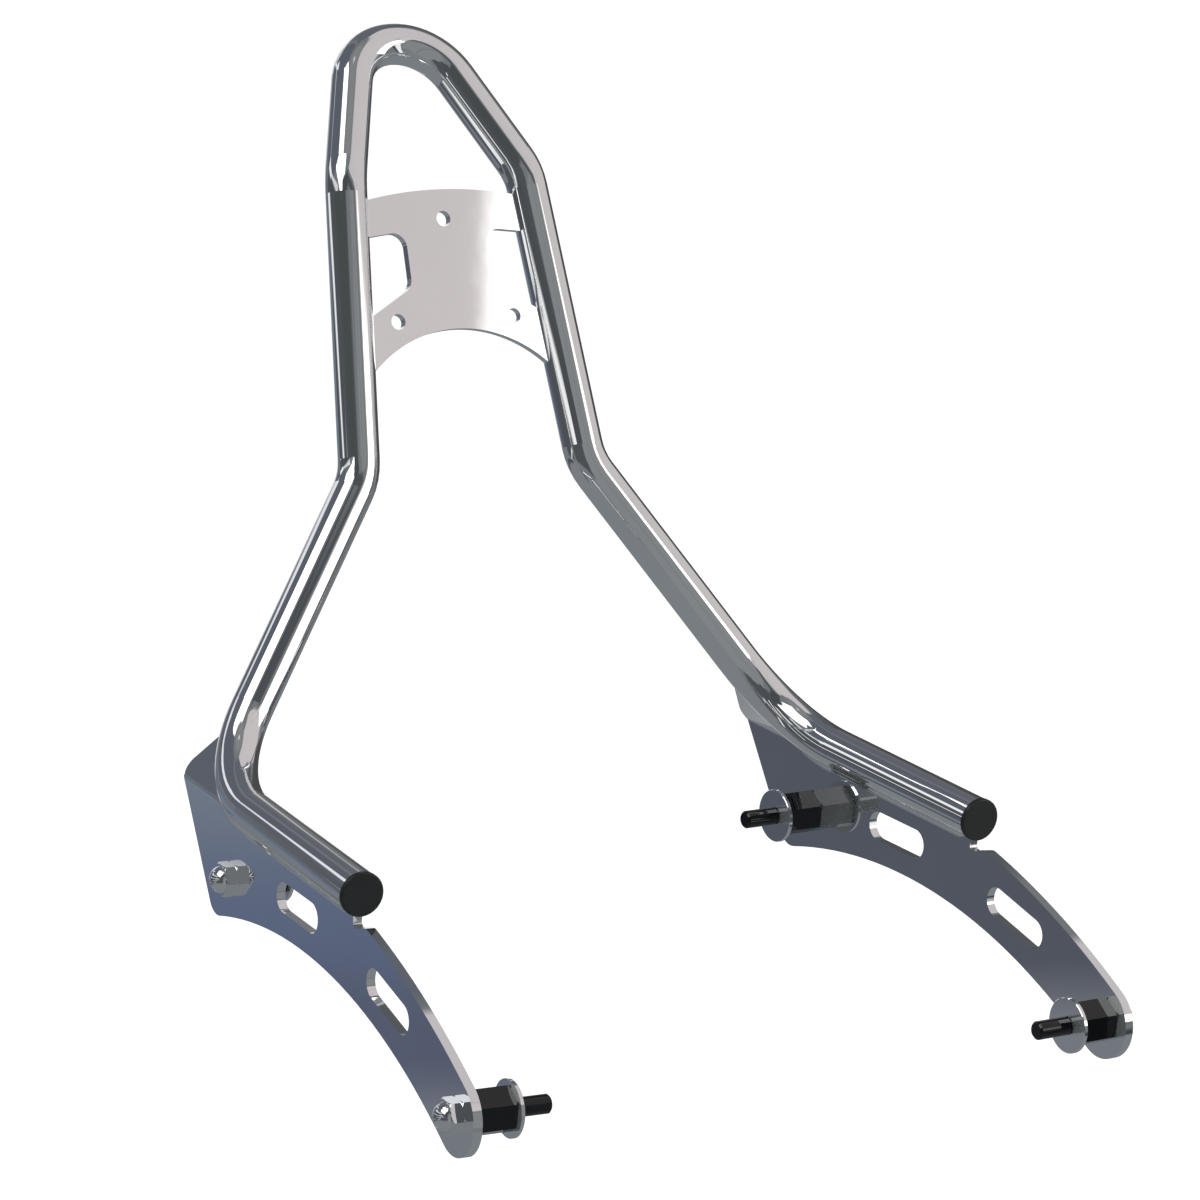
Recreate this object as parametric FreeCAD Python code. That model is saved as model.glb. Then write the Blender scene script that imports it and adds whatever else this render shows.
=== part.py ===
"""Detachable motorcycle backrest frame: a bent round tube, two folded side plates and a pad plate.

One tube starts at the front on the rider's left, runs back level, bends up and in, turns steeper
at the knee, leans further back at the shoulder, rounds the crown and comes down the same way on
the right. A side plate is welded under each level run: it hangs below the tube, has two slots, a
rounded nose in front and a gusset behind that is folded inward to follow the tube's bend. A flat
pad plate closes the space between the uprights. At four points a stud goes through a side plate:
an acorn nut holds it outside, and a hexagonal spacer and a washer stand it off inside.

Frame: millimetres, +Z up, front towards -Y, +X to the rider's left. The origin is midway between
the two front washers, where they bear on the motorcycle. The sizes below count back (+Y) from the
tube's front ends and up (+Z) from the axis of its level runs, and the parts are moved at the end.
"""
import FreeCAD, Part
import math
import os
from FreeCAD import Placement, Rotation, Vector

# Tube
TUBE_OD = 22.2
TUBE_WALL = 2.0
END_HALF_WIDTH = 182.0       # from the middle to the tube's axis at its front ends
LEVEL_RUN = 169.0            # front end to the corner of the lower bend, measured along Y
SPLAY_DEG = 2.6              # each level run opens outward to the front
KNEE_HALF_WIDTH = 69.0
KNEE_BACK = 229.3
KNEE_HEIGHT = 139.8
SHOULDER_HALF_WIDTH = 54.3
SHOULDER_BACK = 291.9
SHOULDER_HEIGHT = 284.9
CROWN_BACK = 390.0           # where the two crown legs would cross, were the crown not rounded
CROWN_HEIGHT = 390.0
LOWER_BEND_R = 66.6          # bend radii are to the tube's axis
KNEE_BEND_R = 35.0
SHOULDER_BEND_R = 38.5
CROWN_BEND_R = 33.6

# Side plate, measured in its own plane
SIDE_T = 4.8
NOSE_R = 19.3
NOSE_BACK = -115.8
NOSE_UP = -70.1
FRONT_EDGE_R = 460.0         # long bulging edge from the brow to the nose
LOWER_EDGE_R = 334.0         # long hollow edge under the plate
HEEL_BEHIND_BEND = -11.1     # lower rear corner, back from the corner of the lower bend
HEEL_UP = -66.1
HEEL_R = 11.0
NOTCH_BACK = 1.3             # relief beside the end cap
NOTCH_UP = -17.9
NOTCH_R = 2.6
BROW_BACK = -12.6            # where the notch's floor meets the bulging edge
BROW_UP = -13.2
BROW_R = 6.0
FOLD_DROP = 5.6              # fold line below the tube's axis
FOLD_INSIDE_R = 2.0
GUSSET_BEHIND_BEND = 34.4    # rear end of the fold line, back from the corner of the lower bend
GUSSET_TIP_BACK = 3.4        # gusset's corner, back from the fold line's end
GUSSET_TIP_RISE = 4.3        # and up from it, in the gusset's plane
GUSSET_TIP_R = 8.8
GUSSET_LEAN_DEG = 24.6       # forward lean of the gusset's rear edge, in its plane
GUSSET_RISE = 44.0           # top of that edge, inside the tube

# Slots in the side plate
SLOT_HALF_WIDTH = 7.8
SLOT_HALF_RUN = 15.9         # slot's centre to the centre of its rounded end
FRONT_SLOT_BACK = -40.3
FRONT_SLOT_UP = -40.4
FRONT_SLOT_TILT_DEG = 11.6
REAR_SLOT_BACK = 62.7
REAR_SLOT_UP = -28.7
REAR_SLOT_TILT_DEG = -0.8

# Pad plate, measured down from the shoulder in the plane of the uprights
PAD_T = 4.8
PAD_TOP_DROP = 7.9           # top and bottom edges are arcs: drop in the middle
PAD_TOP_END_DROP = 14.6      # and at the tube's axis
PAD_BOTTOM_DROP = 83.0
PAD_BOTTOM_END_DROP = 118.4
PAD_HOLE_R = 4.2
PAD_TOP_HOLE_DROP = 23.8
PAD_LOW_HOLE_DROP = 77.8
PAD_LOW_HOLE_HALF_SPACING = 35.2
WINDOW_HALF_WEB = 24.1       # half the width left standing between the two windows
WINDOW_TOP_DROP = 29.5
WINDOW_TOP_SLOPE_DEG = 6.6
WINDOW_FLOOR_DROP = 59.6
WINDOW_FLOOR_SLOPE_DEG = 29.5
WINDOW_R = 8.0

# Fixings
STUD_D = 9.5                 # free end, which docks on the motorcycle
STUD_FREE_LENGTH = 19.7      # beyond the washer
STUD_THREAD_D = 8.8          # mean diameter of the thread, from the shoulder outward
STUD_CHAMFER = 0.9
FRONT_BOLT_BACK = -117.6
FRONT_BOLT_UP = -68.4
REAR_BOLT_BACK = 139.0
REAR_BOLT_UP = -39.6
SPACER_FLATS = 20.6
SPACER_LENGTH = 22.0
SPACER_CHAMFER = 1.0
WASHER_OD = 28.4
WASHER_T = 2.0
WASHER_CHAMFER = 0.3
NUT_FLATS = 15.9
NUT_HEIGHT = 11.8
NUT_HEX_HEIGHT = 6.4
NUT_CHAMFER = 0.9
NUT_DOME_R = 7.4
NUT_THREAD_DEPTH = 8.5

# End cap
CAP_HEAD_D = 22.7
CAP_HEAD_T = 2.4
CAP_EDGE_R = 0.8
CAP_PLUG_LENGTH = 12.0
CAP_PLUG_WALL = 1.6
CAP_RIB_COUNT = 3
CAP_RIB_HEIGHT = 0.7
CAP_RIB_WIDTH = 1.6

# Clearances, all radial but the two gaps along the stud
BOLT_CLEARANCE = 0.25        # stud's thread in plate, spacer and washer
THREAD_CLEARANCE = 0.05      # stud's thread in nut
STUD_END_GAP = 0.5           # stud's outer end to the bottom of the nut's thread
SHOULDER_GAP = 0.5           # shoulder of the free end to the washer
CAP_CLEARANCE = 0.05         # rib in tube

TUBE_R = TUBE_OD / 2
STUD_R = STUD_D / 2
THREAD_R = STUD_THREAD_D / 2
SPLAY = math.radians(SPLAY_DEG)
CUT_REACH = 2 * (TUBE_OD + SIDE_T)   # length of the tools that cut through a plate
X_AXIS = Vector(1, 0, 0)
Y_AXIS = Vector(0, 1, 0)
Z_AXIS = Vector(0, 0, 1)


def unit(v):
    """Vector of length 1 along v."""
    return Vector(v).normalize()


def line(a, b):
    """Straight edge from a to b."""
    return Part.LineSegment(a, b).toShape()


def arc(a, middle, b):
    """Circular edge from a to b through a point between them."""
    return Part.Arc(a, middle, b).toShape()


def slab(edges, axis, thickness):
    """Prism of a closed outline, reaching half the thickness to each side of its plane."""
    face = Part.Face(Part.Wire(edges))
    face.translate(axis * (-thickness / 2))
    return face.extrude(axis * thickness)


def polygon_slab(points, axis, thickness):
    """Prism of a polygon, reaching half the thickness to each side of its plane."""
    return slab([line(a, b) for a, b in zip(points, points[1:] + points[:1])], axis, thickness)


def rounded(solid, axis, corners):
    """A prism along axis with the given (point, radius) corners rounded."""
    for point, radius in corners:
        probe = Part.Vertex(point)
        near = []
        for edge in solid.Edges:
            ends = [vertex.Point for vertex in edge.Vertexes]
            if len(ends) == 2 and abs(unit(ends[1] - ends[0]).dot(axis)) > 0.999:
                if edge.distToShape(probe)[0] < 0.001:
                    near.append(edge)
        solid = solid.makeFillet(radius, near)
    return solid


def round_bar(radius, start, end):
    """Round bar along X between two distances."""
    return Part.makeCylinder(radius, end - start, Vector(start, 0, 0), X_AXIS)


def turned(profile):
    """Solid turned about the X axis from (distance, radius) points, which start and end on it."""
    points = [Vector(x, 0, r) for x, r in profile]
    face = Part.Face(Part.makePolygon(points + points[:1]))
    return face.revolve(Vector(0, 0, 0), X_AXIS, 360)


def chamfered_bar(radius, start, end, start_chamfer, end_chamfer):
    """Round bar along X with a 45 degree chamfer at each end."""
    profile = [(start, 0)]
    if start_chamfer:
        profile.append((start, radius - start_chamfer))
    profile.append((start + start_chamfer, radius))
    profile.append((end - end_chamfer, radius))
    if end_chamfer:
        profile.append((end, radius - end_chamfer))
    profile.append((end, 0))
    return turned(profile)


def hexagon_bar(flats, start, end, turn_deg):
    """Hexagonal bar along X. With no turn a corner points up."""
    corner_r = flats / math.sqrt(3)
    points = []
    for i in range(6):
        angle = math.radians(60 * i + turn_deg)
        points.append(Vector(start, corner_r * math.sin(angle), corner_r * math.cos(angle)))
    return Part.Face(Part.makePolygon(points + points[:1])).extrude(X_AXIS * (end - start))


def route_corners():
    """Corners of the tube's axis on the rider's left, from its front end to the crown."""
    bend_half_width = END_HALF_WIDTH - LEVEL_RUN * math.tan(SPLAY)
    return [
        Vector(END_HALF_WIDTH, 0, 0),
        Vector(bend_half_width, LEVEL_RUN, 0),
        Vector(KNEE_HALF_WIDTH, KNEE_BACK, KNEE_HEIGHT),
        Vector(SHOULDER_HALF_WIDTH, SHOULDER_BACK, SHOULDER_HEIGHT),
        Vector(0, CROWN_BACK, CROWN_HEIGHT),
    ]


def tangent_length(before, corner, after, radius):
    """Distance from a corner to the start of the arc that rounds it."""
    half = unit(before - corner).getAngle(unit(after - corner)) / 2
    return radius / math.tan(half)


def tube_path():
    """Axis of the whole tube: straight runs joined by tangent arcs."""
    left = route_corners()
    points = left + [Vector(-p.x, p.y, p.z) for p in reversed(left[:-1])]
    side_radii = [LOWER_BEND_R, KNEE_BEND_R, SHOULDER_BEND_R]
    radii = side_radii + [CROWN_BEND_R] + side_radii[::-1]
    edges = []
    last = points[0]
    for before, corner, after, radius in zip(points, points[1:], points[2:], radii):
        tangent = tangent_length(before, corner, after, radius)
        to_before = unit(before - corner)
        to_after = unit(after - corner)
        inward = unit(to_before + to_after)
        centre = corner + inward * math.hypot(radius, tangent)
        start = corner + to_before * tangent
        end = corner + to_after * tangent
        edges.append(line(last, start))
        edges.append(arc(start, centre - inward * radius, end))
        last = end
    edges.append(line(last, points[-1]))
    return Part.Wire(edges)


def tube_form(radius):
    """Solid round bar of a given radius along the tube's axis."""
    path = tube_path()
    first = path.Edges[0]
    start = first.valueAt(first.FirstParameter)
    direction = first.tangentAt(first.FirstParameter)
    return path.makePipe(Part.Face(Part.Wire(Part.makeCircle(radius, start, direction))))


def make_frame_tube():
    """The hollow bent tube."""
    return tube_form(TUBE_R).cut(tube_form(TUBE_R - TUBE_WALL))


def side_frame():
    """Placement of the left side plate: X out of the plate, Y back along the level run."""
    return Placement(route_corners()[0], Rotation(Z_AXIS, SPLAY_DEG))


def bend_back():
    """Distance along the level run from the tube's front end to the corner of the lower bend."""
    return LEVEL_RUN / math.cos(SPLAY)


def fold_tilt():
    """Angle in radians between the side plate and the plane of the tube's lower bend."""
    front, bend, knee = route_corners()[:3]
    normal = unit((bend - front).cross(knee - bend))
    return math.asin(abs(normal.z))


def fold_end():
    """Rear end of the fold line."""
    return Vector(0, bend_back() + GUSSET_BEHIND_BEND, -FOLD_DROP)


def lower_meeting(c1, r1, c2, r2):
    """Lower of the two points where circles in the YZ plane meet."""
    gap = c2 - c1
    along = (gap.Length ** 2 + r1 ** 2 - r2 ** 2) / (2 * gap.Length)
    off = math.sqrt(r1 ** 2 - along ** 2)
    direction = unit(gap)
    foot = c1 + direction * along
    side = Vector(0, -direction.z, direction.y) * off
    return min(foot + side, foot - side, key=lambda p: p.z)


def between(centre, a, b):
    """Point halfway along the short arc about centre from a to b."""
    return centre + unit(a + b - centre * 2) * (a - centre).Length


def web_slab():
    """Outline of the side plate's upright web, carried on past the fold line."""
    nose = Vector(0, NOSE_BACK, NOSE_UP)
    notch = Vector(0, NOTCH_BACK, NOTCH_UP)
    brow = Vector(0, BROW_BACK, BROW_UP)
    heel = Vector(0, bend_back() + HEEL_BEHIND_BEND, HEEL_UP)
    front_centre = lower_meeting(brow, FRONT_EDGE_R, nose, FRONT_EDGE_R - NOSE_R)
    lower_centre = lower_meeting(heel, LOWER_EDGE_R, nose, LOWER_EDGE_R + NOSE_R)
    nose_top = front_centre + unit(nose - front_centre) * FRONT_EDGE_R
    nose_bottom = lower_centre + unit(nose - lower_centre) * LOWER_EDGE_R
    chord = nose_top - nose_bottom
    nose_front = nose + unit(Vector(0, -chord.z, chord.y)) * NOSE_R
    rear_top = fold_end() + (fold_end() - heel) * (TUBE_R / (-FOLD_DROP - HEEL_UP))
    front_top = Vector(0, NOTCH_BACK, rear_top.z)
    edges = [
        line(front_top, notch),
        line(notch, brow),
        arc(brow, between(front_centre, brow, nose_top), nose_top),
        arc(nose_top, nose_front, nose_bottom),
        arc(nose_bottom, between(lower_centre, nose_bottom, heel), heel),
        line(heel, rear_top),
        line(rear_top, front_top),
    ]
    corners = [(notch, NOTCH_R), (brow, BROW_R), (heel, HEEL_R)]
    return rounded(slab(edges, X_AXIS, CUT_REACH), X_AXIS, corners)


def gusset_slab():
    """Outline of the folded gusset, from below the fold line to the axis of the tube's bend."""
    front, bend, knee = route_corners()[:3]
    bend_start = bend_back() - tangent_length(front, bend, knee, LOWER_BEND_R)
    axis_rise = FOLD_DROP * math.cos(fold_tilt())
    centre = Vector(0, bend_start, axis_rise + LOWER_BEND_R)
    base = Vector(0, fold_end().y, 0)
    tip = base + Vector(0, GUSSET_TIP_BACK, GUSSET_TIP_RISE)
    below = base - (tip - base) * 2
    lean = math.tan(math.radians(GUSSET_LEAN_DEG))
    top = tip + Vector(0, -lean, 1) * (GUSSET_RISE - GUSSET_TIP_RISE)
    drop = centre.z - GUSSET_RISE
    axis_top = Vector(0, bend_start + math.sqrt(LOWER_BEND_R ** 2 - drop ** 2), GUSSET_RISE)
    axis_start = Vector(0, bend_start, axis_rise)
    corner = Vector(0, bend_start, below.z)
    edges = [
        line(below, tip),
        line(tip, top),
        line(top, axis_top),
        arc(axis_top, between(centre, axis_top, axis_start), axis_start),
        line(axis_start, corner),
        line(corner, below),
    ]
    upright = rounded(slab(edges, X_AXIS, CUT_REACH), X_AXIS, [(tip, GUSSET_TIP_R)])
    tilt = Rotation(Y_AXIS, -math.degrees(fold_tilt()))
    upright.Placement = Placement(Vector(0, 0, -FOLD_DROP), tilt).multiply(upright.Placement)
    return upright


def folded_sheet():
    """Long sheet folded once, which the side plate is cut from."""
    tilt = fold_tilt()
    outside_r = FOLD_INSIDE_R + SIDE_T
    middle_r = FOLD_INSIDE_R + SIDE_T / 2
    centre = Vector(-middle_r, 0, -FOLD_DROP - middle_r * math.tan(tilt / 2))
    directions = [Vector(math.cos(a), 0, math.sin(a)) for a in (0, tilt / 2, tilt)]
    outside = [centre + direction * outside_r for direction in directions]
    inside = [centre + direction * FOLD_INSIDE_R for direction in directions]
    up = Vector(-math.sin(tilt), 0, math.cos(tilt)) * (GUSSET_RISE * 2)
    down = Z_AXIS * (HEEL_UP * 2)
    edges = [
        line(outside[0] + down, outside[0]),
        arc(*outside),
        line(outside[2], outside[2] + up),
        line(outside[2] + up, inside[2] + up),
        line(inside[2] + up, inside[2]),
        arc(*reversed(inside)),
        line(inside[0], inside[0] + down),
        line(inside[0] + down, outside[0] + down),
    ]
    return slab(edges, Y_AXIS, LEVEL_RUN * 4)


def above_fold():
    """Everything above the plane that halves the fold."""
    half = LEVEL_RUN * 2
    box = Part.makeBox(half * 2, half * 2, half, Vector(-half, -half, 0))
    tilt = Rotation(Y_AXIS, -math.degrees(fold_tilt()) / 2)
    box.Placement = Placement(Vector(0, 0, -FOLD_DROP), tilt).multiply(box.Placement)
    return box


def slot(back, up, tilt_deg):
    """Cutter for one round-ended slot through the side plate."""
    start = -CUT_REACH / 2
    cutter = Part.makeBox(CUT_REACH, 2 * SLOT_HALF_RUN, 2 * SLOT_HALF_WIDTH,
                          Vector(start, -SLOT_HALF_RUN, -SLOT_HALF_WIDTH))
    for end in (-SLOT_HALF_RUN, SLOT_HALF_RUN):
        round_end = round_bar(SLOT_HALF_WIDTH, start, start + CUT_REACH)
        round_end.translate(Vector(0, end, 0))
        cutter = cutter.fuse(round_end)
    cutter = cutter.removeSplitter()
    cutter.Placement = Placement(Vector(0, back, up), Rotation(X_AXIS, tilt_deg))
    return cutter


def bolt_points():
    """Bolt centres on the side plate, named by their place."""
    return {
        "front": Vector(0, FRONT_BOLT_BACK, FRONT_BOLT_UP),
        "rear": Vector(0, REAR_BOLT_BACK, REAR_BOLT_UP),
    }


def make_side_plate():
    """Left side plate: web and gusset of one folded sheet, shaped to sit against the tube."""
    sheet = folded_sheet()
    web = sheet.common(web_slab()).cut(above_fold())
    gusset = sheet.common(gusset_slab()).common(above_fold())
    plate = web.fuse(gusset).removeSplitter()
    plate = plate.cut(slot(FRONT_SLOT_BACK, FRONT_SLOT_UP, FRONT_SLOT_TILT_DEG))
    plate = plate.cut(slot(REAR_SLOT_BACK, REAR_SLOT_UP, REAR_SLOT_TILT_DEG))
    for point in bolt_points().values():
        hole = round_bar(THREAD_R + BOLT_CLEARANCE, -CUT_REACH / 2, CUT_REACH / 2)
        hole.translate(point)
        plate = plate.cut(hole)
    plate.Placement = side_frame().multiply(plate.Placement)
    return plate.cut(tube_form(TUBE_R))


def pad_frame():
    """Placement of the pad plate: Y up the uprights from the shoulder, Z out of its front."""
    lean = math.atan2(SHOULDER_BACK - KNEE_BACK, SHOULDER_HEIGHT - KNEE_HEIGHT)
    tilt = Rotation(X_AXIS, 90 - math.degrees(lean))
    return Placement(Vector(0, SHOULDER_BACK, SHOULDER_HEIGHT), tilt)


def upright_axis(drop):
    """Point on the left upright's axis in the pad plate's plane, some way below the shoulder."""
    run = math.hypot(SHOULDER_BACK - KNEE_BACK, SHOULDER_HEIGHT - KNEE_HEIGHT)
    spread = (KNEE_HALF_WIDTH - SHOULDER_HALF_WIDTH) * drop / run
    return Vector(SHOULDER_HALF_WIDTH + spread, -drop, 0)


def window():
    """Cutter for the left window, open towards the tube."""
    reach = SHOULDER_HALF_WIDTH
    top = Vector(WINDOW_HALF_WEB, -WINDOW_TOP_DROP, 0)
    floor = Vector(WINDOW_HALF_WEB, -WINDOW_FLOOR_DROP, 0)
    top_fall = math.tan(math.radians(WINDOW_TOP_SLOPE_DEG))
    floor_fall = math.tan(math.radians(WINDOW_FLOOR_SLOPE_DEG))
    points = [top, floor, floor + Vector(1, -floor_fall, 0) * reach,
              top + Vector(1, -top_fall, 0) * reach]
    cutter = polygon_slab(points, Z_AXIS, CUT_REACH)
    return rounded(cutter, Z_AXIS, [(top, WINDOW_R), (floor, WINDOW_R)])


def pad_hole_points():
    """Centres of the three pad screw holes, named by their place."""
    return {
        "top": Vector(0, -PAD_TOP_HOLE_DROP, 0),
        "left": Vector(PAD_LOW_HOLE_HALF_SPACING, -PAD_LOW_HOLE_DROP, 0),
        "right": Vector(-PAD_LOW_HOLE_HALF_SPACING, -PAD_LOW_HOLE_DROP, 0),
    }


def make_pad_plate():
    """Flat plate between the uprights that the pad is screwed to."""
    top_left = upright_axis(PAD_TOP_END_DROP)
    bottom_left = upright_axis(PAD_BOTTOM_END_DROP)
    top_right = Vector(-top_left.x, top_left.y, 0)
    bottom_right = Vector(-bottom_left.x, bottom_left.y, 0)
    edges = [
        arc(top_left, Vector(0, -PAD_TOP_DROP, 0), top_right),
        line(top_right, bottom_right),
        arc(bottom_right, Vector(0, -PAD_BOTTOM_DROP, 0), bottom_left),
        line(bottom_left, top_left),
    ]
    plate = slab(edges, Z_AXIS, PAD_T)
    left_window = window()
    plate = plate.cut(left_window).cut(left_window.mirror(Vector(0, 0, 0), X_AXIS))
    for point in pad_hole_points().values():
        foot = point - Z_AXIS * (CUT_REACH / 2)
        plate = plate.cut(Part.makeCylinder(PAD_HOLE_R, CUT_REACH, foot))
    plate.Placement = pad_frame().multiply(plate.Placement)
    return plate.cut(tube_form(TUBE_R))


def spacer_inner_face():
    """Distance of the spacer's inner face from the middle of the side plate, inward negative."""
    return -SIDE_T / 2 - SPACER_LENGTH


def washer_inner_face():
    """Distance of the washer's inner face from the middle of the side plate, inward negative."""
    return spacer_inner_face() - WASHER_T


def make_stud():
    """Stud through nut, side plate, spacer and washer, with a thicker free end inside."""
    inner = washer_inner_face() - STUD_FREE_LENGTH
    shoulder = washer_inner_face() - SHOULDER_GAP
    outer = SIDE_T / 2 + NUT_THREAD_DEPTH - STUD_END_GAP
    return turned([
        (inner, 0),
        (inner, STUD_R - STUD_CHAMFER),
        (inner + STUD_CHAMFER, STUD_R),
        (shoulder, STUD_R),
        (shoulder, THREAD_R),
        (outer - STUD_CHAMFER, THREAD_R),
        (outer, THREAD_R - STUD_CHAMFER),
        (outer, 0),
    ])


def make_hex_spacer():
    """Hexagonal spacer on the inside of the side plate."""
    inner = spacer_inner_face()
    outer = -SIDE_T / 2
    corner_r = SPACER_FLATS / math.sqrt(3)
    body = hexagon_bar(SPACER_FLATS, inner, outer, 0)
    body = body.common(chamfered_bar(corner_r, inner, outer, SPACER_CHAMFER, SPACER_CHAMFER))
    return body.cut(round_bar(THREAD_R + BOLT_CLEARANCE, inner, outer))


def make_washer():
    """Round washer between the spacer and the motorcycle."""
    inner = washer_inner_face()
    outer = spacer_inner_face()
    body = chamfered_bar(WASHER_OD / 2, inner, outer, WASHER_CHAMFER, 0)
    return body.cut(round_bar(THREAD_R + BOLT_CLEARANCE, inner, outer))


def make_acorn_nut():
    """Acorn nut on the outside of the side plate."""
    base = SIDE_T / 2
    hex_top = base + NUT_HEX_HEIGHT
    top = base + NUT_HEIGHT
    corner_r = NUT_FLATS / math.sqrt(3)
    body = hexagon_bar(NUT_FLATS, base, hex_top, 30)
    body = body.common(chamfered_bar(corner_r, base, hex_top, NUT_CHAMFER, NUT_CHAMFER))
    ball = Part.makeSphere(NUT_DOME_R, Vector(top - NUT_DOME_R, 0, 0), X_AXIS)
    body = body.fuse(ball.common(round_bar(NUT_DOME_R, hex_top, top)))
    return body.cut(round_bar(THREAD_R + THREAD_CLEARANCE, base, base + NUT_THREAD_DEPTH))


def make_end_cap():
    """Plain plug for a tube end: thin head, hollow ribbed plug behind it."""
    bore = TUBE_R - TUBE_WALL
    rib_r = bore - CAP_CLEARANCE
    plug_r = rib_r - CAP_RIB_HEIGHT
    head = round_bar(CAP_HEAD_D / 2, -CAP_HEAD_T, 0)
    face_edges = [edge for edge in head.Edges if abs(edge.CenterOfMass.x + CAP_HEAD_T) < 0.001]
    head = head.makeFillet(CAP_EDGE_R, face_edges)
    cap = head.fuse(round_bar(plug_r, 0, CAP_PLUG_LENGTH))
    pitch = CAP_PLUG_LENGTH / (CAP_RIB_COUNT + 1)
    for i in range(CAP_RIB_COUNT):
        middle = pitch * (i + 1)
        rib = round_bar(rib_r, middle - CAP_RIB_WIDTH / 2, middle + CAP_RIB_WIDTH / 2)
        cap = cap.fuse(rib)
    cap = cap.cut(round_bar(plug_r - CAP_PLUG_WALL, 0, CAP_PLUG_LENGTH))
    cap.Placement = Placement(Vector(0, 0, 0), Rotation(Z_AXIS, 90)).multiply(cap.Placement)
    return cap


def in_side_frame(shape, point):
    """Copy of a shape moved from the plate's own coordinates to a point on the left plate."""
    moved = shape.copy()
    moved.Placement = side_frame().multiply(Placement(point, Rotation())).multiply(shape.Placement)
    return moved


def mount_centre():
    """Midpoint between the two front washers where they bear on the motorcycle."""
    point = Vector(washer_inner_face(), FRONT_BOLT_BACK, FRONT_BOLT_UP)
    left = side_frame().multVec(point)
    return Vector(0, left.y, left.z)


def left_pieces():
    """Pieces of the left side by name, each of which has a mirror image on the right."""
    pieces = {
        "side_plate": make_side_plate(),
        "end_cap": in_side_frame(make_end_cap(), Vector(0, 0, 0)),
    }
    fixings = {
        "acorn_nut": make_acorn_nut(),
        "stud": make_stud(),
        "hex_spacer": make_hex_spacer(),
        "washer": make_washer(),
    }
    for place, point in bolt_points().items():
        for name, shape in fixings.items():
            pieces[place + "_" + name] = in_side_frame(shape, point)
    return pieces


def main():
    """Build every piece, move it to the mount's origin and write it as its own file."""
    pieces = {"frame_tube": make_frame_tube(), "pad_plate": make_pad_plate()}
    for name, shape in left_pieces().items():
        pieces[name + "_left"] = shape
        pieces[name + "_right"] = shape.mirror(Vector(0, 0, 0), X_AXIS)
    os.makedirs("parts", exist_ok=True)
    origin = mount_centre()
    for name, shape in pieces.items():
        shape.translate(origin * -1)
        shape.exportStep("parts/" + name + ".step")


main()
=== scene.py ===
import math

import bpy
import numpy as np
from bpy.props import FloatProperty, FloatVectorProperty, PointerProperty
from mathutils import Matrix, Vector


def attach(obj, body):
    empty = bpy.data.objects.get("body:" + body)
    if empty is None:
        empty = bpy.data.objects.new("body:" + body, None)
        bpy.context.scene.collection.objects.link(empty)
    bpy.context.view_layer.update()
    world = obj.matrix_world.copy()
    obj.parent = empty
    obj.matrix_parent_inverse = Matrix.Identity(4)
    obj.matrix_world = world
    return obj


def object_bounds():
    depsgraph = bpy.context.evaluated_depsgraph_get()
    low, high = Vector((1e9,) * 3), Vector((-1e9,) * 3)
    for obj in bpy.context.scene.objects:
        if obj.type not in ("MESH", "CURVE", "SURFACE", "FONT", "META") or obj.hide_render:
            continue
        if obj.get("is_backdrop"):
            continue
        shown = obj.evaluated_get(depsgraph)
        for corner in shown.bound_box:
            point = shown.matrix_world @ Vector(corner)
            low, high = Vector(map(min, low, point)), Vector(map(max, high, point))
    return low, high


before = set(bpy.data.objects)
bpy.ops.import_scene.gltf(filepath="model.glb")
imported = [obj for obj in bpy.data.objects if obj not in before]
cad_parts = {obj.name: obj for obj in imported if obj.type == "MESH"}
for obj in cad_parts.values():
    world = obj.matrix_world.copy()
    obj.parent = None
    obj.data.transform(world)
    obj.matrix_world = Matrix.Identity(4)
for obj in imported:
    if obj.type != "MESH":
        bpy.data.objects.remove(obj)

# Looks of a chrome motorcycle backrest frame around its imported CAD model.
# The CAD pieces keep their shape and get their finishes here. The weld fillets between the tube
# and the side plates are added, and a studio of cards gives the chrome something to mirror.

bl_info = {
    "name": "Chrome backrest frame",
    "version": (1, 0, 0),
    "blender": (4, 5, 0),
    "location": "View3D > Sidebar > Backrest",
    "description": "Finishes, weld fillets and studio for a motorcycle backrest frame",
    "category": "Object",
}


def fixings(kind):
    """CAD names of the four fixings of one kind."""
    return tuple("%s_%s_%s" % (end, kind, side)
                 for end in ("front", "rear") for side in ("left", "right"))


CHROME_NODES = (("frame_tube", "pad_plate", "side_plate_left", "side_plate_right")
                + fixings("acorn_nut") + fixings("washer"))
BLACK_NODES = fixings("hex_spacer") + fixings("stud")
CAP_NODES = ("end_cap_left", "end_cap_right")

# The level run and lower bend of the left tube, in the row frame, in metres.
TUBE_FRONT = (0.182, 0.1186765, 0.0684)
TUBE_BEND_CORNER = (0.1743258, 0.2876765, 0.0684)
TUBE_KNEE = (0.069, 0.3479765, 0.2082)

# Inputs of the two node groups: the scale of each noise, in lumps per metre.
CHROME_SCALES = {"Haze Scale": 14.0, "Speck Scale": 420.0, "Ripple Scale": 55.0}
STEEL_SCALES = {"Mottle Scale": 90.0, "Grain Scale": 1400.0}
CAP_SCALES = {"Mottle Scale": 90.0, "Grain Scale": 1400.0}
CLOUD_SCALE = 2.0

# Detail of each noise.
HAZE_DETAIL, SPECK_DETAIL, RIPPLE_DETAIL = 3.0, 2.0, 1.0
MOTTLE_DETAIL, GRAIN_DETAIL, CLOUD_DETAIL = 3.0, 2.0, 2.0

# The part of the noise that shows as haze and as specks, and the share that specks may add.
HAZE_RANGE = (0.35, 0.75)
SPECK_RANGE = (0.3, 0.7)
SPECK_SHARE = 0.3

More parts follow.
